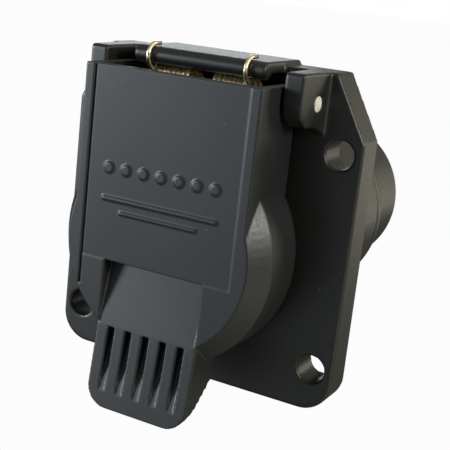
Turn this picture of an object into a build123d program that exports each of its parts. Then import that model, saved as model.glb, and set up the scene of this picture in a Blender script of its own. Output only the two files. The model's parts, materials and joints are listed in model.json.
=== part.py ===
from build123d import *
import os

# Seven-way trailer socket, vehicle side. Millimetres.
# X to the right seen from the plug side, Y towards the vehicle, Z up.
# Origin: socket axis at the rear mounting face of the flange.

# Flange
flange_half_w = 38.0
flange_t = 9.1
flange_top = 43.4
chamfer_top_half_w = 29.8
chamfer_low_z = 28.7
flange_bottom = -35.7
flange_corner_r = 7.5
bolt_x = 32.6
bolt_z = 25.5
bolt_hole_r = 3.4
core_depth = 5.5
spring_pocket_half_w = 17.0
spring_pocket_floor = -2.5

# Socket tube
collar_r = 24.0
collar_front = -24.9
bore_r = 21.8
barrel_r = 25.5
barrel_end = 46.0
shoulder_y = 10.0
seat_r = 22.3
key_w = 6.4
key_top = 22.9
key_end = -2.0

# Ears, hinge pin and spring shelf
ear_in = 22.8
ear_out = 27.3
ear_root_out = 28.3
ear_front = -21.6
ear_low = 31.4
pin_y = -13.6
pin_z = 36.6
pin_r = 1.75
pin_half_len = 27.9
shelf_half_w = 16.9
shelf_front = -19.2
shelf_top = 44.4
shelf_t = 2.6
shelf_nose_r = 2.0

# Cover door
door_half_w = 22.2
door_front = -30.7
door_top = 40.1
door_skin = 3.0
door_wall = 2.4
door_wall_back = -12.0
door_boss_r = 3.5
door_bore_r = 1.82
lid_front_r = 23.5
lid_r = 27.2
lid_bevel_back = -25.6
skirt_in_r = 25.6
skirt_back = -13.4
panel_half_w = 19.8
panel_depth = 0.1
panel_low = -4.8
slit_w = 0.5
slit_depth = 0.7
slit_low = -12.0
tab_half_w = 13.4
tab_bottom = -39.8
tab_bottom_y = -33.3
tab_corner_r = 5.5
tab_heel_y = -21.2
tab_heel_z = -29.6
tab_grip_y = -31.6
tab_grip_z = -37.6
tab_teeth = 6
scoop_half_w = 13.0
scoop_top = -4.8
scoop_low = -20.2
scoop_deep = -27.0
scoop_wall = 1.8
finger_groove_pitch = 4.7
finger_groove_r = 0.9
finger_groove_depth = 3.2
finger_groove_top = -20.6
finger_groove_low = -35.9
finger_grooves = 5
mark_dots = 7
mark_dot_r = 1.25
mark_height = 0.35
catch_half_w = 5.0
catch_back = -22.6
catch_low = 15.4
catch_top = 18.2

# Gasket between cover and collar
gasket_in_r = 21.2
gasket_out_r = 24.9
gasket_front = -26.9
gasket_back = -25.0

# Torsion spring
wire_r = 0.5
bend_swell = 0.12
coil_r = 3.9
coil_pitch = 1.25
coil_turns = 7.67
coil_inner_x = 2.75
leg_under = (-19.3, 40.3)
leg_front_low = (-19.95, 41.6)
leg_front_high = (-19.95, 43.4)
leg_over = (-18.4, 45.05)
leg_end = (-15.0, 45.05)
bridge_y = -20.1
bridge_gap = 0.02

# Contacts
block_r = 22.2
block_back = 26.0
blade_circle_r = 13.4
blade_w = 8.0
blade_t = 1.6
blade_tip = -10.0
blade_tail = 36.5
blade_stop_w = 9.6
slot_gap = 0.05
blade_angles = {
    "blade_right_turn": 60,
    "blade_battery": 0,
    "blade_brake": -60,
    "blade_ground": -120,
    "blade_left_turn": 180,
    "blade_tail": 120,
}
clamp_h = 5.0
clamp_w = 7.8
clamp_front = 28.4
clamp_back = 36.4
wire_hole_r = 1.6
screw_r = 1.7
screw_head_r = 2.9
screw_head_h = 1.6
centre_pin_r = 2.45
centre_stud_r = 2.0
centre_stud_end = 38.5

# Snap ring, cover and grommet
ring_in_r = 20.2
ring_out_r = 22.9
ring_groove_r = 23.0
ring_t = 1.3
spigot_front = 38.0
spigot_in_r = 19.4
cover_r = 21.6
cover_end = 77.0
cover_in_r = 19.0
cover_wall = 3.0
cable_hole_r = 8.0
cable_r = 4.6
grommet_lip_r = 10.4
seal_in_r = 21.0
seal_front = 42.0
seal_w = 1.6
cover_screw_y = 40.0
cover_screw_r = 1.4
cover_screw_head_r = 2.6
cover_screw_angles = (90, 210, 330)


def along_y(radius, start, end, x=0.0, z=0.0):
    """Cylinder parallel to Y between two Y positions."""
    length = end - start
    solid = Cylinder(radius, length, rotation=(90, 0, 0))
    return Pos(x, (start + end) / 2, z) * solid


def along_x(radius, start, end, y, z):
    """Cylinder parallel to X between two X positions."""
    length = end - start
    solid = Cylinder(radius, length, rotation=(0, 90, 0))
    return Pos((start + end) / 2, y, z) * solid


def block(x0, x1, y0, y1, z0, z1):
    """Box given by its limits."""
    centre = Pos((x0 + x1) / 2, (y0 + y1) / 2, (z0 + z1) / 2)
    return centre * Box(x1 - x0, y1 - y0, z1 - z0)


def ring(inner, outer, start, end):
    """Plain ring around the socket axis."""
    return along_y(outer, start, end) - along_y(inner, start, end)


def turned(points):
    """Solid of revolution about Y from (radius, y) points."""
    face = make_face(Polyline(*points, close=True))
    return revolve(face, Axis.Y)


def side_profile(points, x0, x1):
    """Extrudes a (y, z) outline between two X positions."""
    plane = Plane(origin=(x0, 0, 0), x_dir=(0, 1, 0), z_dir=(1, 0, 0))
    face = plane * make_face(Polyline(*points, close=True))
    return extrude(face, amount=x1 - x0)


def front_profile(points, y0, y1):
    """Extrudes an (x, z) outline between two Y positions."""
    plane = Plane(origin=(0, y1, 0), x_dir=(1, 0, 0), z_dir=(0, -1, 0))
    face = plane * make_face(Polyline(*points, close=True))
    return extrude(face, amount=y1 - y0)


def around(shape, angle):
    """Turns a shape built at +X to an angle about the socket axis."""
    return Rot(0, -angle, 0) * shape


def write(name, shape):
    shape.label = name
    export_step(shape, "parts/" + name + ".step")


def flange():
    outline = [
        (-chamfer_top_half_w, flange_top),
        (chamfer_top_half_w, flange_top),
        (flange_half_w, chamfer_low_z),
        (flange_half_w, flange_bottom),
        (-flange_half_w, flange_bottom),
        (-flange_half_w, chamfer_low_z),
    ]
    body = front_profile(outline, -flange_t, 0)
    uprights = body.edges().filter_by(Axis.Y)
    low = uprights.filter_by(lambda e: e.center().Z < 0)
    high = uprights.filter_by(lambda e: e.center().Z > 0)
    body = fillet(low, flange_corner_r)
    rims = body.faces().sort_by(Axis.Y)[0].edges()
    body = fillet(rims, 0.7)
    for x in (-bolt_x, bolt_x):
        for z in (-bolt_z, bolt_z):
            body -= along_y(bolt_hole_r, -flange_t - 1, 1, x, z)
    half = spring_pocket_half_w
    body -= block(-half, half, -flange_t - 1, spring_pocket_floor, 30.5, 41.6)
    body -= block(-13, 13, -core_depth, 1, -33.0, -28.6)
    return body


def ear(side):
    outline = [
        (-flange_t + 0.5, flange_top),
        (ear_front + 0.6, flange_top),
        (ear_front, flange_top - 0.6),
        (ear_front, 36.0),
        (ear_front + 1.0, 33.4),
        (ear_front + 3.9, ear_low),
        (-14.0, ear_low),
        (-flange_t + 0.5, 29.4),
    ]
    plan = make_face(
        Polyline(
            (side * ear_in, 0),
            (side * ear_root_out, 0),
            (side * ear_root_out, -flange_t),
            (side * ear_out, ear_front),
            (side * ear_in, ear_front),
            close=True,
        )
    )
    tapered = extrude(Plane.XY * plan, amount=flange_top)
    return side_profile(outline, -flange_half_w, flange_half_w) & tapered


def shelf():
    """Slab over the spring with a thick rounded lip at its front."""
    nose_y = shelf_front + shelf_nose_r
    nose_z = shelf_top - shelf_nose_r
    slab = block(
        -shelf_half_w, shelf_half_w, nose_y, 0, shelf_top - shelf_t, shelf_top
    )
    return slab + along_x(shelf_nose_r, -shelf_half_w, shelf_half_w, nose_y, nose_z)


def housing():
    body = flange() + along_y(collar_r, collar_front, -flange_t + 0.5)
    body += along_y(barrel_r, -1, barrel_end)
    body += ear(1) + ear(-1)
    body -= along_y(bore_r, collar_front - 1, shoulder_y + 1)
    body -= along_y(seat_r, shoulder_y, barrel_end + 1)
    body -= block(-key_w / 2, key_w / 2, collar_front - 1, key_end, 18, key_top)
    body -= along_y(ring_groove_r, block_back, block_back + ring_t + 0.1)
    body -= block(-1.6, 1.6, shoulder_y, barrel_end + 1, -23.7, -20)
    body += shelf()
    body -= along_x(pin_r, -40, 40, pin_y, pin_z)
    for angle in cover_screw_angles:
        body -= around(cover_screw_hole(), angle)
    mouth = body.edges().filter_by(GeomType.CIRCLE)
    mouth = mouth.filter_by(lambda e: abs(e.center().Y - collar_front) < 0.01)
    outer = mouth.filter_by(lambda e: abs(e.radius - collar_r) < 0.01)
    return chamfer(outer, 0.5)


def cover_screw_hole():
    shank = along_x(cover_screw_r, 18, 27, cover_screw_y, 0)
    head = along_x(cover_screw_head_r + 0.1, 23.9, 27, cover_screw_y, 0)
    return shank + head


def lid_cap():
    """Bevelled lid with a skirt that reaches back over the collar."""
    return turned(
        [
            (0, door_front),
            (lid_front_r, door_front),
            (lid_r, lid_bevel_back),
            (lid_r, skirt_back),
            (skirt_in_r, skirt_back),
            (skirt_in_r, gasket_front),
            (gasket_in_r, gasket_front),
            (gasket_in_r, door_front + door_skin + 0.3),
            (0, door_front + door_skin + 0.3),
        ]
    )


def door_wall_outline():
    outline = [
        (door_front, door_top),
        (pin_y, door_top),
        (pin_y + 1.75, pin_z + 3.03),
        (pin_y + 3.03, pin_z + 1.75),
        (pin_y + door_boss_r, pin_z),
        (pin_y + door_boss_r, pin_z - 1.5),
        (door_wall_back, pin_z - 5.0),
        (door_wall_back, 14.0),
        (door_front, 5.0),
    ]
    return outline


def door_walls():
    inner = door_half_w - door_wall
    right = side_profile(door_wall_outline(), inner, door_half_w)
    left = side_profile(door_wall_outline(), -door_half_w, -inner)
    return (right + left) - along_y(skirt_in_r, gasket_front, 0)


def tab_surface(z):
    """Y of the tab's front plane at a height."""
    slope = (tab_bottom_y - door_front) / (tab_bottom - scoop_low)
    return door_front + slope * (z - scoop_low)


def tab_back():
    """Grip line of small steps from the heel down to the tip of the tab."""
    start_y = tab_heel_y - 1.6
    start_z = tab_heel_z - 0.8
    step_y = (tab_grip_y - start_y) / tab_teeth
    step_z = (tab_grip_z - start_z) / tab_teeth
    points = [(tab_heel_y, tab_heel_z), (start_y, start_z)]
    for i in range(tab_teeth):
        y = start_y + i * step_y
        z = start_z + (i + 1) * step_z
        points.append((y + 0.45 * step_y, z))
        points.append((y + step_y, z))
    return points + [(tab_grip_y - 0.2, tab_bottom)]


def tab():
    outline = [
        (-27.6, -14.0),
        (door_front, scoop_low),
        (tab_bottom_y, tab_bottom),
    ]
    outline += tab_back()[::-1]
    outline += [(tab_heel_y, -20.0), (gasket_front, -14.0)]
    body = side_profile(outline, -tab_half_w, tab_half_w)
    body -= along_y(skirt_in_r, gasket_front, 0)
    window = make_face(tab_front_outline())
    plane = Plane(origin=(0, -18, 0), x_dir=(1, 0, 0), z_dir=(0, -1, 0))
    return body & extrude(plane * window, amount=20)


def tab_front_outline():
    w = tab_half_w
    r = tab_corner_r
    low = tab_bottom
    left = RadiusArc((-w, low + r), (-w + r, low), -r)
    right = RadiusArc((w - r, low), (w, low + r), -r)
    sides = Polyline((w, low + r), (w, -10), (-w, -10), (-w, low + r))
    return left + Line((-w + r, low), (w - r, low)) + right + sides


def scoop_outline(wall):
    """Wedge whose floor runs on from the tab's front plane, grown by a wall."""
    return [
        (door_front - 1.0, scoop_low - 4.0 - wall),
        (door_front + wall, scoop_low - wall),
        (scoop_deep + wall, scoop_top + wall),
        (door_front - 1.0, scoop_top + wall),
    ]


def scoop_shell():
    half = scoop_half_w + scoop_wall
    shell = side_profile(scoop_outline(scoop_wall), -half, half)
    return shell & along_y(bore_r - 1.2, door_front + 1.0, -10)


def finger_groove(x):
    """Slot, deep at its top, whose floor slopes out to the tab's front plane."""
    outline = [
        (tab_surface(finger_groove_top) + finger_groove_depth, finger_groove_top),
        (tab_surface(finger_groove_low), finger_groove_low),
        (tab_surface(finger_groove_low) - 2.0, finger_groove_low),
        (tab_surface(finger_groove_top) - 2.0, finger_groove_top),
    ]
    half = finger_groove_r
    return side_profile(outline, x - half, x + half)


def marks():
    """Seven raised dots and two plain rules on the recessed panel."""
    floor = door_front + panel_depth
    middle = (mark_dots - 1) / 2
    shapes = [
        along_y(mark_dot_r, floor - mark_height, floor + 0.5, (i - middle) * 4.6, 17.0)
        for i in range(mark_dots)
    ]
    shapes.append(block(-15, 15, floor - mark_height, floor + 0.5, 9.4, 10.2))
    shapes.append(block(-10, 10, floor - mark_height, floor + 0.5, 6.6, 7.2))
    return shapes


def plug_catch():
    """Ledge inside the lid that holds the trailer plug in."""
    front = door_front + door_skin - 0.5
    return block(-catch_half_w, catch_half_w, front, catch_back, catch_low, catch_top)


def door():
    body = lid_cap()
    body += block(-door_half_w, door_half_w, door_front, door_front + door_skin, 3, door_top)
    body += door_walls()
    body += tab()
    body += scoop_shell()
    front = door_front - 0.5
    floor = door_front + panel_depth
    slit_x = slit_w - panel_half_w
    slit_floor = door_front + slit_depth
    body -= block(-panel_half_w, panel_half_w, front, floor, panel_low, door_top + 1)
    body -= block(-panel_half_w, slit_x, front, slit_floor, slit_low, door_top + 1)
    body -= side_profile(scoop_outline(0), -scoop_half_w, scoop_half_w)
    middle = (finger_grooves - 1) / 2
    for i in range(finger_grooves):
        body -= finger_groove((i - middle) * finger_groove_pitch)
    for mark in marks():
        body += mark
    body -= along_x(door_bore_r, -40, 40, pin_y, pin_z)
    body -= ring(gasket_in_r, gasket_out_r, gasket_front, -20)
    body += plug_catch()
    return body


def coil_path():
    """Right-hand coil around the pin, from its low inner end to its upper outer end."""
    length = coil_turns * coil_pitch
    place = Pos(coil_inner_x, pin_y, pin_z) * Rot(0, 90, 0)
    return place * Helix(coil_pitch, length, coil_r)


def sweep_wire(path):
    begin = path @ 0
    direction = path % 0
    section = Plane(origin=begin, z_dir=direction) * Circle(wire_r)
    return sweep(section, path=path)


def rod(points):
    """Round wire through corner points with ball corners."""
    body = None
    for a, b in zip(points[:-1], points[1:]):
        step = Vector(*b) - Vector(*a)
        centre = (Vector(*a) + Vector(*b)) * 0.5
        plane = Plane(origin=(centre.X, centre.Y, centre.Z), z_dir=(step.X, step.Y, step.Z))
        piece = plane * Cylinder(wire_r, step.length)
        body = piece if body is None else body + piece
    for corner in points[1:-1]:
        body += Pos(*corner) * Sphere(wire_r)
    return body


def half_spring():
    path = coil_path()
    inner = path @ 0
    outer = path @ 1
    leg_x = outer.X + 0.2
    leg = rod(
        [
            (outer.X, outer.Y, outer.Z),
            (leg_x, *leg_under),
            (leg_x, *leg_front_low),
            (leg_x, *leg_front_high),
            (leg_x, *leg_over),
            (leg_x, *leg_end),
        ]
    )
    bridge_z = lid_r + wire_r + bridge_gap
    bridge = rod(
        [
            (inner.X, inner.Y, inner.Z),
            (inner.X - 0.9, bridge_y, bridge_z),
            (0.0, bridge_y, bridge_z),
        ]
    )
    joint_r = wire_r + bend_swell
    wire = sweep_wire(path) + Pos(outer.X, outer.Y, outer.Z) * Sphere(joint_r) + leg
    return wire + Pos(inner.X, inner.Y, inner.Z) * Sphere(joint_r) + bridge


def spring():
    half = half_spring()
    return half + mirror(half, Plane.YZ)


def blade():
    r0 = blade_circle_r - blade_t / 2
    r1 = blade_circle_r + blade_t / 2
    body = block(r0, r1, blade_tip, blade_tail, -blade_w / 2, blade_w / 2)
    tips = body.edges().filter_by(Axis.X)
    tips = tips.filter_by(lambda e: e.center().Y < blade_tip + 0.1)
    body = chamfer(tips, 1.4)
    lead = body.edges().filter_by(Axis.Z)
    lead = lead.filter_by(lambda e: e.center().Y < blade_tip + 0.1)
    body = chamfer(lead, 0.45)
    half = blade_stop_w / 2
    stop = block(r0, r1, block_back, block_back + 1.4, -half, half)
    return body + stop


def contact_block():
    body = along_y(block_r, shoulder_y, block_back)
    body += along_y(6.5, shoulder_y - 6, shoulder_y + 1)
    key = block(-1.5, 1.5, shoulder_y, block_back, -23.5, -20)
    body += key
    r0 = blade_circle_r - blade_t / 2 - slot_gap
    r1 = blade_circle_r + blade_t / 2 + slot_gap
    half = blade_w / 2 + slot_gap
    for angle in blade_angles.values():
        foot = block(r0 - 1.8, r1 + 1.8, shoulder_y - 2.5, shoulder_y + 1, -half - 1.4, half + 1.4)
        body += around(foot, angle)
    for angle in blade_angles.values():
        slot = block(r0, r1, 0, block_back + 1, -half, half)
        body -= around(slot, angle)
    body -= along_y(centre_pin_r + slot_gap, 0, block_back + 1)
    return body


def centre_contact():
    body = along_y(centre_pin_r, blade_tip + 1.2, block_back)
    body += Pos(0, blade_tip + 1.2, 0) * Sphere(centre_pin_r)
    body += along_y(centre_stud_r, block_back, centre_stud_end)
    return body


def centre_washer():
    return ring(centre_stud_r + 0.1, 4.2, block_back, block_back + 0.9)


def centre_nut():
    start = block_back + 0.9
    plane = Plane(origin=(0, start, 0), x_dir=(1, 0, 0), z_dir=(0, 1, 0))
    face = plane * RegularPolygon(radius=4.0, side_count=6)
    body = extrude(face, amount=3.2)
    return body - along_y(centre_stud_r + 0.05, start - 1, start + 5)


def terminal_clamp():
    r0 = blade_circle_r + blade_t / 2
    half = clamp_w / 2
    body = block(r0, r0 + clamp_h, clamp_front, clamp_back, -half, half)
    middle = (clamp_front + clamp_back) / 2
    body -= along_y(wire_hole_r, clamp_front - 1, clamp_back + 1, r0 + 1.9, 0)
    body -= along_x(screw_r, r0 + 1.9, r0 + clamp_h + 1, middle, 0)
    return body


def terminal_screw():
    r0 = blade_circle_r + blade_t / 2
    middle = (clamp_front + clamp_back) / 2
    top = r0 + clamp_h
    body = along_x(screw_r - 0.05, r0 + 2.4, top, middle, 0)
    body += along_x(screw_head_r, top, top + screw_head_h, middle, 0)
    slot = block(top + 0.8, top + 3, middle - 0.4, middle + 0.4, -4, 4)
    return body - slot


def cover_screw():
    body = along_x(cover_screw_r - 0.05, 19.6, 24.0, cover_screw_y, 0)
    body += along_x(cover_screw_head_r, 24.0, 25.3, cover_screw_y, 0)
    cross = block(24.6, 26, cover_screw_y - 0.3, cover_screw_y + 0.3, -1.6, 1.6)
    other = block(24.6, 26, cover_screw_y - 1.6, cover_screw_y + 1.6, -0.3, 0.3)
    return body - cross - other


def group(piece, angles):
    solids = [around(piece, angle) for angle in angles]
    return Compound(children=solids)


def snap_ring():
    body = ring(ring_in_r, ring_out_r, block_back, block_back + ring_t)
    return body - block(-3.0, 3.0, block_back - 1, block_back + 3, -26, -18)


def rear_cover():
    tip_r = cover_r - 4
    body = turned(
        [
            (spigot_in_r, spigot_front),
            (seat_r - 0.1, spigot_front),
            (seat_r - 0.1, barrel_end),
            (barrel_r, barrel_end),
            (barrel_r, barrel_end + 3),
            (cover_r + 0.6, barrel_end + 7),
            (cover_r, barrel_end + 12),
            (cover_r, cover_end - 4),
            (cover_r - 1.2, cover_end - 1.2),
            (tip_r, cover_end),
            (0, cover_end),
            (0, cover_end - cover_wall),
            (cover_in_r - 3, cover_end - cover_wall),
            (cover_in_r, cover_end - cover_wall - 3),
            (cover_in_r, barrel_end + 2),
            (spigot_in_r, barrel_end + 1),
        ]
    )
    body -= along_y(cable_hole_r, cover_end - 10, cover_end + 1)
    body -= ring(seal_in_r, 30, seal_front, seal_front + seal_w + 0.1)
    for angle in cover_screw_angles:
        body -= around(along_x(cover_screw_r, 18, 27, cover_screw_y, 0), angle)
    return body


def rear_seal():
    return ring(seal_in_r, seat_r - 0.02, seal_front, seal_front + seal_w)


def grommet():
    return turned(
        [
            (cable_r, cover_end - 5.2),
            (cable_r, cover_end + 4.5),
            (cable_r + 1.8, cover_end + 4.5),
            (cable_r + 3.0, cover_end + 2.0),
            (grommet_lip_r, cover_end + 1.8),
            (grommet_lip_r, cover_end),
            (cable_hole_r, cover_end),
            (cable_hole_r, cover_end - cover_wall),
            (grommet_lip_r, cover_end - cover_wall),
            (grommet_lip_r - 0.6, cover_end - cover_wall - 2.2),
        ]
    )


os.makedirs("parts", exist_ok=True)
write("housing", housing())
write("hinge_pin", along_x(pin_r, -pin_half_len, pin_half_len, pin_y, pin_z))
write("cover_door", door())
write("cover_gasket", ring(gasket_in_r, gasket_out_r, gasket_front, gasket_back))
write("cover_spring", spring())
write("contact_block", contact_block())
for blade_name, blade_angle in blade_angles.items():
    write(blade_name, around(blade(), blade_angle))
write("centre_contact", centre_contact())
write("centre_washer", centre_washer())
write("centre_nut", centre_nut())
write("terminal_clamps", group(terminal_clamp(), blade_angles.values()))
write("terminal_screws", group(terminal_screw(), blade_angles.values()))
write("block_snap_ring", snap_ring())
write("rear_cover", rear_cover())
write("rear_seal", rear_seal())
write("cover_screws", group(cover_screw(), cover_screw_angles))
write("cable_grommet", grommet())
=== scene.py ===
"""Looks of the seven-way trailer socket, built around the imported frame. Metres."""

import json
import math

import bmesh
import bpy
from mathutils import Matrix, Vector

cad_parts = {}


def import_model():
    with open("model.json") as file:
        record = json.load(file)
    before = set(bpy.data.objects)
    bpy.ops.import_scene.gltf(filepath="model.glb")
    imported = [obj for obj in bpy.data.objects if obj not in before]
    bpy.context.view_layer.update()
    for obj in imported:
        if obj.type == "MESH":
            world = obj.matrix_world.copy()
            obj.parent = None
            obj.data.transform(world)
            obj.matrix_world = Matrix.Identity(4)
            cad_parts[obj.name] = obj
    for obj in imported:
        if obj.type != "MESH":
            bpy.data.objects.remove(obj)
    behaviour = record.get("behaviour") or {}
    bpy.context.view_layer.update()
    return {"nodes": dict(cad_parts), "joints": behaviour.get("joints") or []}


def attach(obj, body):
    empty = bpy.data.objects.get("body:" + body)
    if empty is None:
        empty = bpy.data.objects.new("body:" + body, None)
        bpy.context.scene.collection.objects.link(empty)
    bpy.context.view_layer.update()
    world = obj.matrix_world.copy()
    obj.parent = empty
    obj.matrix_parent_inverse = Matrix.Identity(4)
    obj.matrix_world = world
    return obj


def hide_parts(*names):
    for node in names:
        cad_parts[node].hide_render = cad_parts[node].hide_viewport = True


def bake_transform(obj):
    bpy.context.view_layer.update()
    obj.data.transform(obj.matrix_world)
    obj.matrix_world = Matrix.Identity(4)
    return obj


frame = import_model()
nodes = frame["nodes"]
hinge = Vector(frame["joints"][0]["pos_m"])

MM = 0.001
SOCKET = "socket"
COVER = "cover"

# Camera at the photograph's viewing angle
CAM_AZIMUTH = 29.512
CAM_ELEVATION = 13.721
CAM_ROLL = 5.625
CAM_PLACE = (0.114378, -0.229937, 0.064826)
CAM_FOCAL_PX = 1058.4
CAM_CENTRE_PX = (163.36, 215.07)
FRAME_PX = 450.0
SENSOR_MM = 36.0


# ---------------------------------------------------------------- materials

def new_material(name):
    mat = bpy.data.materials.new(name)
    mat.use_nodes = True
    tree = mat.node_tree
    tree.nodes.clear()
    out = tree.nodes.new("ShaderNodeOutputMaterial")
    bsdf = tree.nodes.new("ShaderNodeBsdfPrincipled")
    tree.links.new(bsdf.outputs["BSDF"], out.inputs["Surface"])
    return mat, tree, bsdf


def coords(tree):
    return tree.nodes.new("ShaderNodeTexCoord").outputs["Object"]


def noise_tex(tree, vector, scale, detail=3.0, rough=0.55):
    node = tree.nodes.new("ShaderNodeTexNoise")
    node.inputs["Scale"].default_value = scale
    node.inputs["Detail"].default_value = detail
    node.inputs["Roughness"].default_value = rough
    tree.links.new(vector, node.inputs["Vector"])
    return node.outputs["Fac"]


def map_range(tree, value, low, high, to_low, to_high):
    node = tree.nodes.new("ShaderNodeMapRange")
    node.inputs["From Min"].default_value = low
    node.inputs["From Max"].default_value = high
    node.inputs["To Min"].default_value = to_low
    node.inputs["To Max"].default_value = to_high
    tree.links.new(value, node.inputs["Value"])
    return node.outputs["Result"]


def math_node(tree, kind, a, b):
    node = tree.nodes.new("ShaderNodeMath")
    node.operation = kind
    for socket, value in zip(node.inputs, (a, b)):
        if isinstance(value, (int, float)):
            socket.default_value = value
        else:
            tree.links.new(value, socket)
    return node.outputs[0]


def mix_colour(tree, factor, a, b):
    node = tree.nodes.new("ShaderNodeMix")
    node.data_type = "RGBA"
    sockets = {s.identifier: s for s in node.inputs}
    if isinstance(factor, (int, float)):
        sockets["Factor_Float"].default_value = factor
    else:
        tree.links.new(factor, sockets["Factor_Float"])
    for key, value in (("A_Color", a), ("B_Color", b)):
        if isinstance(value, tuple):
            sockets[key].default_value = (*value, 1.0)
        else:
            tree.links.new(value, sockets[key])
    return next(s for s in node.outputs if s.identifier == "Result_Color")


def bump(tree, height, strength, distance, below=None):
    node = tree.nodes.new("ShaderNodeBump")
    node.inputs["Strength"].default_value = strength
    node.inputs["Distance"].default_value = distance
    tree.links.new(height, node.inputs["Height"])
    if below is not None:
        tree.links.new(below, node.inputs["Normal"])
    return node.outputs["Normal"]


def dust(tree, vector, cells_per_m, size, share):
    """Mask of scattered small specks."""
    node = tree.nodes.new("ShaderNodeTexVoronoi")
    node.inputs["Scale"].default_value = cells_per_m
    tree.links.new(vector, node.inputs["Vector"])
    near = math_node(tree, "LESS_THAN", node.outputs["Distance"], size)
    split = tree.nodes.new("ShaderNodeSeparateColor")
    tree.links.new(node.outputs["Color"], split.inputs["Color"])
    picked = math_node(tree, "LESS_THAN", split.outputs["Red"], share)
    return math_node(tree, "MULTIPLY", near, picked)


DUST_CELLS_PER_M = 560.0
DUST_SIZE = 0.055
DUST_COLOUR = (0.2, 0.19, 0.17)


def plastic(name, base, light, roughness, grain=0.22, specks=0.08):
    """Moulded plastic: fine spark-eroded grain, faint flow clouding, edges lightened as wear and
    painted highlight, and dust.
    """
    mat, tree, bsdf = new_material(name)
    at = coords(tree)
    cloud = noise_tex(tree, at, 55.0, 4.0)
    mottle = noise_tex(tree, at, 1400.0, 3.0)
    fine = noise_tex(tree, at, 5200.0, 2.0, 0.7)
    tone = map_range(tree, cloud, 0.3, 0.7, 0.0, 1.0)
    colour = mix_colour(tree, tone, base, light)
    geometry = tree.nodes.new("ShaderNodeNewGeometry")
    # Convex edges are lightened in colour, partly as worn plastic and partly as a painted
    # highlight, and made a little glossier.
    edge = map_range(tree, geometry.outputs["Pointiness"], 0.55, 0.66, 0.0, 0.3)
    edge = math_node(tree, "MULTIPLY", edge, map_range(tree, mottle, 0.35, 0.65, 0.35, 1.0))
    worn_and_highlight_edge_colour = tuple(min(1.0, c * 2.4 + 0.01) for c in light)
    colour = mix_colour(tree, edge, colour, worn_and_highlight_edge_colour)
    speck = dust(tree, at, DUST_CELLS_PER_M, DUST_SIZE, specks)
    colour = mix_colour(tree, speck, colour, DUST_COLOUR)
    tree.links.new(colour, bsdf.inputs["Base Color"])
    rough = map_range(tree, mottle, 0.3, 0.7, roughness - 0.05, roughness + 0.06)
    rough = math_node(tree, "SUBTRACT", rough, math_node(tree, "MULTIPLY", edge, 0.18))
    tree.links.new(rough, bsdf.inputs["Roughness"])
    bsdf.inputs["IOR"].default_value = 1.5
    coarse = bump(tree, mottle, grain * 0.5, 0.05 * MM)
    tree.links.new(bump(tree, fine, grain, 0.03 * MM, coarse), bsdf.inputs["Normal"])
    return mat


def metal(name, colour, tarnish, roughness, scratch=0.25, stretch=(1, 1, 1)):
    """Drawn or stamped metal with fine directional scratches and blotchy tarnish."""
    mat, tree, bsdf = new_material(name)
    at = coords(tree)
    stretched = tree.nodes.new("ShaderNodeVectorMath")
    stretched.operation = "MULTIPLY"
    stretched.inputs[1].default_value = stretch
    tree.links.new(at, stretched.inputs[0])
    lines = noise_tex(tree, stretched.outputs[0], 3600.0, 2.0, 0.6)
    blotch = noise_tex(tree, at, 320.0, 4.0, 0.6)
    worn = map_range(tree, blotch, 0.38, 0.68, 0.0, 1.0)
    tree.links.new(mix_colour(tree, worn, colour, tarnish), bsdf.inputs["Base Color"])
    bsdf.inputs["Metallic"].default_value = 1.0
    rough = map_range(tree, worn, 0.0, 1.0, roughness - 0.06, roughness + 0.14)
    tree.links.new(rough, bsdf.inputs["Roughness"])
    tree.links.new(bump(tree, lines, scratch, 0.02 * MM), bsdf.inputs["Normal"])
    return mat


def rubber(name, base, light, roughness):
    """Soft rubber with a dull bloom and a pebbled skin."""
    mat, tree, bsdf = new_material(name)
    at = coords(tree)
    bloom = map_range(tree, noise_tex(tree, at, 240.0, 5.0, 0.65), 0.35, 0.7, 0.0, 1.0)
    pebble = noise_tex(tree, at, 3000.0, 2.0)
    tree.links.new(mix_colour(tree, bloom, base, light), bsdf.inputs["Base Color"])
    rough = map_range(tree, bloom, 0.0, 1.0, roughness - 0.08, roughness + 0.08)
    tree.links.new(rough, bsdf.inputs["Roughness"])
    bsdf.inputs["IOR"].default_value = 1.45
    tree.links.new(bump(tree, pebble, 0.3, 0.04 * MM), bsdf.inputs["Normal"])
    return mat


body_plastic = plastic("body_plastic", (0.0050, 0.0054, 0.0050), (0.0084, 0.0088, 0.0078), 0.42)
cover_plastic = plastic("cover_plastic", (0.0055, 0.0064, 0.0068), (0.0090, 0.0100, 0.0105), 0.45)
block_plastic = plastic(
    "block_plastic", (0.02, 0.019, 0.018), (0.03, 0.028, 0.026), 0.42, 0.2, 0.04
)
seal_rubber = rubber("seal_rubber", (0.014, 0.014, 0.014), (0.024, 0.024, 0.023), 0.7)
brass = metal("contact_brass", (0.80, 0.58, 0.26), (0.46, 0.30, 0.13), 0.3, 0.3, (1, 0.08, 1))
wire_gold = metal("spring_wire", (0.95, 0.84, 0.58), (0.80, 0.66, 0.40), 0.30, 0.04)
zinc = metal("zinc_steel", (0.78, 0.76, 0.70), (0.50, 0.47, 0.40), 0.34, 0.5)
pin_steel = metal("pin_steel", (0.90, 0.88, 0.80), (0.42, 0.38, 0.30), 0.5, 0.9)
pin_steel.node_tree.nodes["Principled BSDF"].inputs["Metallic"].default_value = 0.25
spring_steel = metal("spring_steel", (0.32, 0.32, 0.34), (0.18, 0.17, 0.17), 0.36, 0.3)


# ---------------------------------------------------------------- mesh tools

def add_object(name, mesh):
    obj = bpy.data.objects.new(name, mesh)
    bpy.context.scene.collection.objects.link(obj)
    return obj


def from_bmesh(name, bm):
    bmesh.ops.recalc_face_normals(bm, faces=bm.faces)
    mesh = bpy.data.meshes.new(name)
    bm.to_mesh(mesh)
    bm.free()
    mesh.shade_smooth()
    return add_object(name, mesh)


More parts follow.
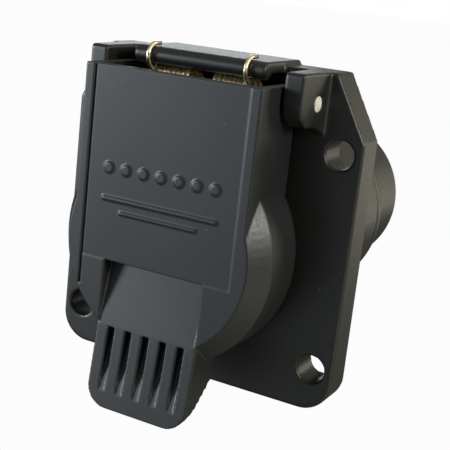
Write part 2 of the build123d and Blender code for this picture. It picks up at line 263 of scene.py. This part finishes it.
def finish_piece(obj, body, material, slot, *replaced):
    obj.data.materials.clear()
    obj.data.materials.append(material)
    if body is not None:
        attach(obj, body)
    if replaced:
        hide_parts(*replaced)
    return obj


def baked(obj):
    """Applies all modifiers of an object to its mesh."""
    bpy.context.view_layer.update()
    graph = bpy.context.evaluated_depsgraph_get()
    mesh = bpy.data.meshes.new_from_object(obj.evaluated_get(graph))
    obj.modifiers.clear()
    obj.data = mesh
    mesh.shade_smooth()
    return obj


def moulded(name, node, voxel, rounds):
    """Rounded-edge moulding that follows a CAD node: fine remesh, then relaxed edges."""
    mesh = nodes[node].data.copy()
    mesh.materials.clear()
    obj = add_object(name, mesh)
    remesh = obj.modifiers.new("fine", "REMESH")
    remesh.mode = "VOXEL"
    remesh.voxel_size = voxel
    relax = obj.modifiers.new("edges", "SMOOTH")
    relax.factor = 0.5
    relax.iterations = rounds
    return baked(obj)


def lathe(name, profile, steps=128):
    """Closed ring of (radius, y) points in millimetres turned about the socket axis."""
    bm = bmesh.new()
    rings = []
    for i in range(steps):
        a = 2 * math.pi * i / steps
        ring = [
            bm.verts.new((r * math.cos(a) * MM, y * MM, r * math.sin(a) * MM))
            for r, y in profile
        ]
        rings.append(ring)
    count = len(profile)
    for i in range(steps):
        a, b = rings[i], rings[(i + 1) % steps]
        for j in range(count):
            k = (j + 1) % count
            bm.faces.new((a[j], a[k], b[k], b[j]))
    return from_bmesh(name, bm)


def rounded(points, radius, steps=6):
    """Polyline with its inner corners rounded, as vectors in millimetres."""
    points = [Vector(p) for p in points]
    out = [points[0]]
    for before, corner, after in zip(points, points[1:], points[2:]):
        back = (before - corner)
        ahead = (after - corner)
        reach = min(radius, back.length * 0.45, ahead.length * 0.45)
        start = corner + back.normalized() * reach
        end = corner + ahead.normalized() * reach
        for i in range(steps + 1):
            t = i / steps
            out.append(start * (1 - t) ** 2 + corner * (2 * t * (1 - t)) + end * t * t)
    out.append(points[-1])
    return out


def tube(name, points, radius, sides=14):
    """Round wire along millimetre points, with domed ends."""
    bm = bmesh.new()
    points = [Vector(p) for p in points]
    normal = None
    rings = []
    last = len(points) - 1
    for i, p in enumerate(points):
        tangent = (points[min(i + 1, last)] - points[max(i - 1, 0)]).normalized()
        if normal is None:
            normal = tangent.orthogonal().normalized()
        normal = (normal - tangent * normal.dot(tangent)).normalized()
        side = tangent.cross(normal)
        ring = []
        for k in range(sides):
            a = 2 * math.pi * k / sides
            offset = (normal * math.cos(a) + side * math.sin(a)) * radius
            ring.append(bm.verts.new((p + offset) * MM))
        rings.append((ring, p, tangent))
    for (a, _, _), (b, _, _) in zip(rings, rings[1:]):
        for k in range(sides):
            n = (k + 1) % sides
            bm.faces.new((a[k], a[n], b[n], b[k]))
    for ring, p, tangent, sign in ((*rings[0], -1), (*rings[-1], 1)):
        tip = bm.verts.new((p + tangent * sign * radius * 0.7) * MM)
        for k in range(sides):
            bm.faces.new((ring[k], ring[(k + 1) % sides], tip))
    return from_bmesh(name, bm)


# ---------------------------------------------------------------- mouldings

housing = moulded("socket_moulding", "housing", 0.34 * MM, 3)
finish_piece(housing, SOCKET, body_plastic, "moulded_black", "housing")

door = moulded("cover_moulding", "cover_door", 0.22 * MM, 2)
finish_piece(door, COVER, cover_plastic, "moulded_black", "cover_door")

rear = moulded("rear_cap", "rear_cover", 0.4 * MM, 3)
finish_piece(rear, SOCKET, body_plastic, "moulded_black", "rear_cover")

# ---------------------------------------------------------------- spring

WIRE_R = 0.5
COIL_R = 3.9
COIL_PITCH = 1.25
COIL_TURNS = 7.67
COIL_INNER_X = 2.75
COIL_STEPS_PER_TURN = 28
LEG = ((-19.3, 40.3), (-19.95, 41.6), (-19.95, 43.4), (-18.4, 45.05), (-15.0, 45.05))
BRIDGE_Y = -20.1
BRIDGE_Z = 27.72
PIN_Y = hinge.y / MM
PIN_Z = hinge.z / MM


def coil_points():
    steps = int(COIL_TURNS * COIL_STEPS_PER_TURN)
    points = []
    for i in range(steps + 1):
        a = 2 * math.pi * COIL_TURNS * i / steps
        x = COIL_INNER_X + COIL_PITCH * COIL_TURNS * i / steps
        points.append((x, PIN_Y + COIL_R * math.sin(a), PIN_Z - COIL_R * math.cos(a)))
    return points


def spring_side(name, sign):
    """Coil and hooked leg of one side, as one fixed wire attached to no body."""
    coil = coil_points()
    end = coil[-1]
    leg = rounded([end] + [(end[0] + 0.2, y, z) for y, z in LEG], 0.8)
    path = coil + [tuple(p) for p in leg[1:]]
    points = [(sign * x, y, z) for x, y, z in path]
    obj = tube(name, points, WIRE_R)
    finish_piece(obj, None, wire_gold, "spring_wire")
    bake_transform(obj)


spring_side("spring_left", -1)
spring_side("spring_right", 1)
inner = coil_points()[0]
bridge_path = rounded(
    [
        (-inner[0], inner[1], inner[2]),
        (-inner[0] + 0.9, BRIDGE_Y, BRIDGE_Z),
        (inner[0] - 0.9, BRIDGE_Y, BRIDGE_Z),
        inner,
    ],
    1.2,
)
bridge = tube("spring_bridge", bridge_path, WIRE_R)
finish_piece(bridge, COVER, wire_gold, "spring_wire", "cover_spring")

# ---------------------------------------------------------------- turned pieces

gasket = lathe(
    "cover_seal",
    [
        (21.25, -26.85), (21.25, -25.7), (21.5, -25.35), (21.8, -25.25), (22.1, -25.4),
        (22.4, -25.1), (22.9, -25.0), (23.4, -25.1), (23.7, -25.4), (24.1, -25.25),
        (24.5, -25.35), (24.85, -25.7), (24.85, -26.85),
    ],
)
finish_piece(gasket, COVER, seal_rubber, "seal_rubber", "cover_gasket")

grommet = lathe(
    "cable_boot",
    [
        (4.6, 71.9), (4.6, 81.5), (6.2, 81.5), (6.5, 81.2), (6.8, 80.4), (6.5, 80.1),
        (7.0, 79.7), (7.2, 79.1), (6.9, 78.9), (7.6, 78.7), (9.9, 78.7), (10.3, 78.4),
        (10.3, 77.0), (8.0, 77.0), (8.0, 74.0), (10.3, 74.0), (9.9, 71.9),
    ],
)
finish_piece(grommet, SOCKET, seal_rubber, "seal_rubber", "cable_grommet")

CAD_EDGE_WIDTH = 0.12 * MM
CAD_EDGE_ANGLE = math.radians(35)

for name, material in (
    ("contact_block", block_plastic),
    ("rear_seal", seal_rubber),
    ("block_snap_ring", spring_steel),
    ("centre_washer", zinc),
    ("centre_nut", zinc),
    ("terminal_screws", zinc),
    ("cover_screws", zinc),
    ("hinge_pin", pin_steel),
    ("terminal_clamps", brass),
    ("centre_contact", brass),
    ("blade_right_turn", brass),
    ("blade_battery", brass),
    ("blade_brake", brass),
    ("blade_ground", brass),
    ("blade_left_turn", brass),
    ("blade_tail", brass),
):
    data = nodes[name].data
    data.materials.clear()
    data.materials.append(material)
    soften = nodes[name].modifiers.new("edge", "BEVEL")
    soften.width = CAD_EDGE_WIDTH
    soften.segments = 2
    soften.limit_method = "ANGLE"
    soften.angle_limit = CAD_EDGE_ANGLE

# ---------------------------------------------------------------- stage

WARM = (1.0, 0.95, 0.78)
COOL = (0.84, 0.93, 1.0)
FLOOR_Z = -0.16
# Soft patches of sky: direction, sharpness, colour, strength
SKY_PATCHES = (
    ((0.35, 0.10, 0.90), 2.0, WARM, 0.6),
    ((-0.30, 0.90, 0.25), 4.0, WARM, 0.33),
    ((0.40, 0.90, -0.10), 6.0, WARM, 0.10),
    ((-0.48, -0.80, 0.35), 2.0, COOL, 0.25),
)
# Soft glows on the floor: centre, radius, colour, strength
FLOOR_GLOWS = (
    ((-0.38, -0.62, 0.0), 0.70, COOL, 1.5),
    ((0.36, -0.10, 0.0), 0.40, WARM, 1.6),
)


def area_light(name, place, aim, size, energy, colour):
    data = bpy.data.lights.new(name, "AREA")
    data.shape = "RECTANGLE"
    data.size, data.size_y = size
    data.energy = energy
    data.color = colour
    obj = bpy.data.objects.new(name, data)
    obj.location = place
    obj.rotation_euler = (Vector(aim) - Vector(place)).to_track_quat("-Z", "Y").to_euler()
    obj.visible_camera = False
    bpy.context.scene.collection.objects.link(obj)


def camera_only(tree, seen, felt):
    """Mixes two shaders: one for what the camera sees, one for the light that it gives."""
    path = tree.nodes.new("ShaderNodeLightPath")
    mix = tree.nodes.new("ShaderNodeMixShader")
    tree.links.new(path.outputs["Is Camera Ray"], mix.inputs["Fac"])
    tree.links.new(felt, mix.inputs[1])
    tree.links.new(seen, mix.inputs[2])
    return mix.outputs[0]


def glow_spot(tree, place, centre, radius, colour, strength):
    """Soft round glow on the floor, as a colour to add to the others."""
    gap = tree.nodes.new("ShaderNodeVectorMath")
    gap.operation = "DISTANCE"
    tree.links.new(place, gap.inputs[0])
    gap.inputs[1].default_value = centre
    fade = map_range(tree, gap.outputs["Value"], 0.0, radius, 1.0, 0.0)
    return scaled_colour(tree, math_node(tree, "POWER", fade, 1.5), colour, strength)


def scaled_colour(tree, factor, colour, strength):
    """A colour times a number from the tree."""
    node = tree.nodes.new("ShaderNodeVectorMath")
    node.operation = "SCALE"
    node.inputs[0].default_value = [c * strength for c in colour]
    tree.links.new(factor, node.inputs["Scale"])
    return node.outputs[0]


def summed(tree, colours):
    """The sum of several colours."""
    total = colours[0]
    for colour in colours[1:]:
        add = tree.nodes.new("ShaderNodeVectorMath")
        add.operation = "ADD"
        tree.links.new(total, add.inputs[0])
        tree.links.new(colour, add.inputs[1])
        total = add.outputs[0]
    return total


def floor():
    """Pale sheet, lit evenly to the eye, that throws little light up on the object."""
    bm = bmesh.new()
    bmesh.ops.create_grid(bm, x_segments=4, y_segments=4, size=6.0)
    obj = from_bmesh("floor", bm)
    obj.location = (0, 0, FLOOR_Z)
    mat, tree, bsdf = new_material("pale_floor")
    soft = noise_tex(tree, coords(tree), 3.0)
    bsdf.inputs["Roughness"].default_value = 0.9
    shade = mix_colour(tree, soft, (0.09, 0.088, 0.082), (0.11, 0.108, 0.10))
    tree.links.new(shade, bsdf.inputs["Base Color"])
    glows = [glow_spot(tree, coords(tree), *spot) for spot in FLOOR_GLOWS]
    tree.links.new(summed(tree, glows), bsdf.inputs["Emission Color"])
    bsdf.inputs["Emission Strength"].default_value = 1.0
    glow = tree.nodes.new("ShaderNodeEmission")
    pale = mix_colour(tree, soft, (0.97, 0.97, 0.97), (0.98, 0.98, 0.98))
    tree.links.new(pale, glow.inputs["Color"])
    out = next(n for n in tree.nodes if n.type == "OUTPUT_MATERIAL")
    tree.links.new(
        camera_only(tree, glow.outputs[0], bsdf.outputs[0]), out.inputs["Surface"]
    )
    obj.data.materials.append(mat)


def lobe(tree, direction, aim, sharpness, colour, strength):
    """Soft patch of sky round a direction, as a colour to add to the others."""
    dot = tree.nodes.new("ShaderNodeVectorMath")
    dot.operation = "DOT_PRODUCT"
    tree.links.new(direction, dot.inputs[0])
    dot.inputs[1].default_value = Vector(aim).normalized()
    facing = math_node(tree, "MAXIMUM", dot.outputs["Value"], 0.0)
    return scaled_colour(tree, math_node(tree, "POWER", facing, sharpness), colour, strength)


def world():
    """White to the eye; the light comes from a dim room with soft patches."""
    scene_world = bpy.data.worlds.new("studio")
    scene_world.use_nodes = True
    tree = scene_world.node_tree
    felt = tree.nodes["Background"]
    direction = tree.nodes.new("ShaderNodeTexCoord").outputs["Generated"]
    patches = [lobe(tree, direction, *patch) for patch in SKY_PATCHES]
    tree.links.new(summed(tree, patches), felt.inputs["Color"])
    seen = tree.nodes.new("ShaderNodeBackground")
    seen.inputs["Color"].default_value = (1.0, 1.0, 1.0, 1.0)
    out = tree.nodes["World Output"]
    tree.links.new(camera_only(tree, seen.outputs[0], felt.outputs[0]), out.inputs["Surface"])
    bpy.context.scene.world = scene_world


def camera():
    base = Matrix(((1, 0, 0), (0, 0, -1), (0, 1, 0)))
    view = (
        Matrix.Rotation(math.radians(CAM_ROLL), 3, "Z")
        @ Matrix.Rotation(math.radians(CAM_ELEVATION), 3, "X")
        @ base
        @ Matrix.Rotation(math.radians(-CAM_AZIMUTH), 3, "Z")
    )
    right, down, ahead = view
    turn = Matrix((right, -down, -ahead)).transposed()
    data = bpy.data.cameras.new("camera")
    data.sensor_width = SENSOR_MM
    data.lens = CAM_FOCAL_PX * SENSOR_MM / FRAME_PX
    data.shift_x = (FRAME_PX / 2 - CAM_CENTRE_PX[0]) / FRAME_PX
    data.shift_y = (CAM_CENTRE_PX[1] - FRAME_PX / 2) / FRAME_PX
    data.clip_start = 0.01
    data.clip_end = 50.0
    obj = bpy.data.objects.new("camera", data)
    obj.matrix_world = Matrix.Translation(CAM_PLACE) @ turn.to_4x4()
    bpy.context.scene.collection.objects.link(obj)
    bpy.context.scene.camera = obj


floor()
world()
camera()
area_light("key", (-1.25, -0.96, 0.19), (0, 0, 0), (0.42, 0.42), 26.0, COOL)
area_light("right", (0.72, -0.20, 0.33), (0, 0, 0), (0.22, 0.22), 5.8, (1.0, 0.99, 0.92))
area_light("back_right", (0.60, 0.74, 0.16), (0, 0, 0), (0.30, 0.30), 1.4, WARM)
area_light("back_left", (-0.55, 0.85, 0.05), (0, 0, 0), (0.40, 0.40), 2.5, COOL)
area_light("back_low", (0.30, 0.60, -0.09), (0, 0, 0), (0.45, 0.12), 0.22, WARM)
bpy.context.scene.view_settings.view_transform = "Standard"
